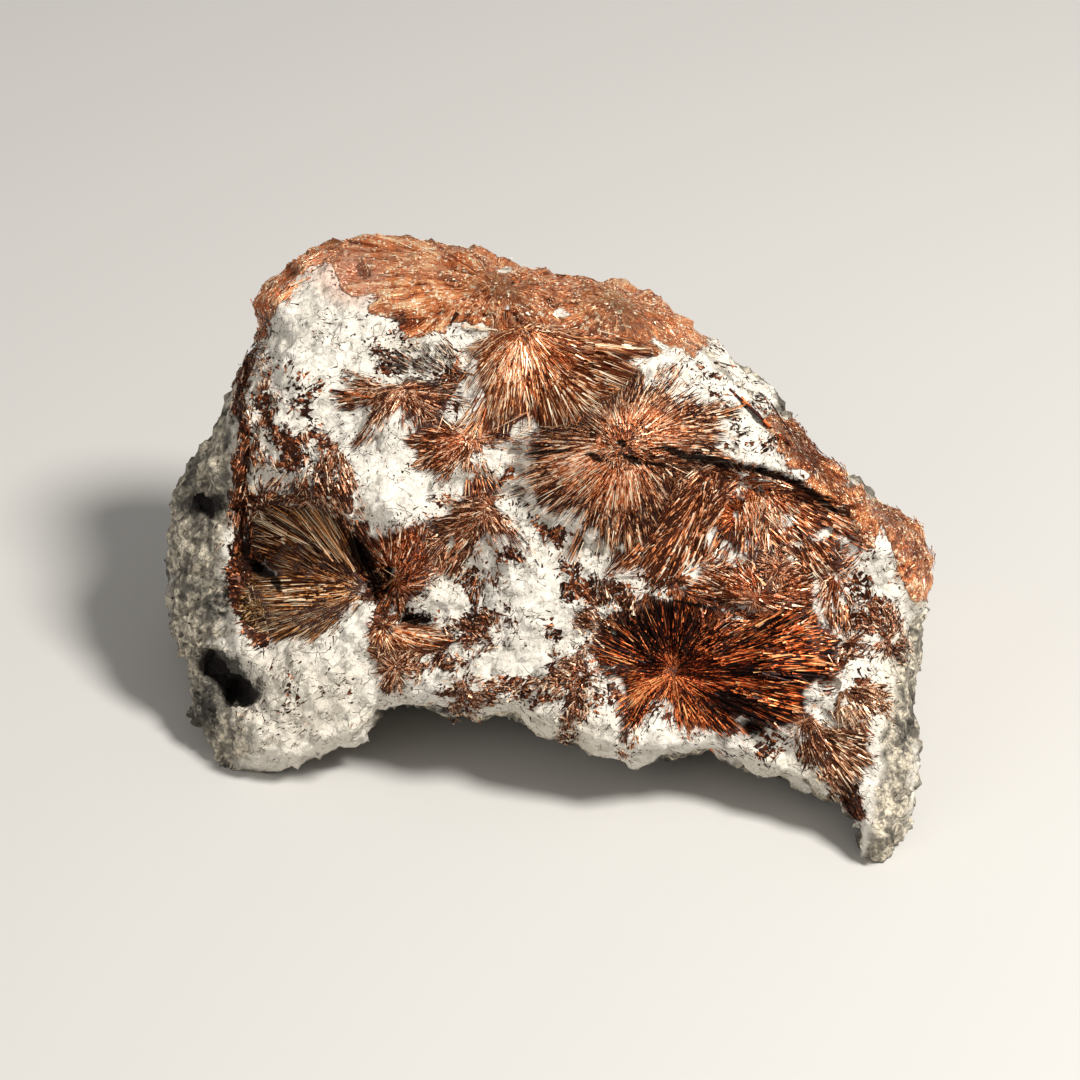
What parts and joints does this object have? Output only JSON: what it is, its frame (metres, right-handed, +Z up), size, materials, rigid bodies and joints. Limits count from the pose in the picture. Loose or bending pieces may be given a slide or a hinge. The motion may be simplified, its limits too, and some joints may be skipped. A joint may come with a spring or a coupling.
{
  "type": "astrophyllite mineral specimen",
  "caption": "Block of white albite rock with radiating sprays of bronze astrophyllite crystals on its display face, standing on its own flat underside.",
  "frame": {"origin": "middle of the underside of the bounding box, on the surface the specimen stands on", "axes": "+X along the longest side, to the right when the display face is looked at; +Y towards the back; +Z up; the display face leans back and looks towards -Y and up"},
  "size_m": [0.1836, 0.1292, 0.1018],
  "materials": {
    "albite": "rough, granular, cream white",
    "astrophyllite": "bronze brown with a metallic, pearly lustre"
  },
  "bodies": {
    "root": {"albite_rock": "albite", "spray_crest": "astrophyllite", "spray_crest_right": "astrophyllite", "spray_upper": "astrophyllite", "spray_centre": "astrophyllite", "spray_under_ledge": "astrophyllite", "spray_right": "astrophyllite", "spray_lower_right": "astrophyllite", "spray_ridge": "astrophyllite", "spray_shoulder": "astrophyllite", "spray_leg": "astrophyllite", "spray_leg_top": "astrophyllite", "spray_right_edge": "astrophyllite", "spray_pocket": "astrophyllite", "spray_pocket_brow": "astrophyllite", "spray_white_face": "astrophyllite", "spray_dark_needles": "astrophyllite", "spray_middle_left": "astrophyllite", "spray_middle": "astrophyllite", "spray_mound": "astrophyllite", "spray_low_left": "astrophyllite", "spray_arch_left": "astrophyllite", "spray_arch": "astrophyllite", "spray_brow_left": "astrophyllite"}
  },
  "joints": []
}
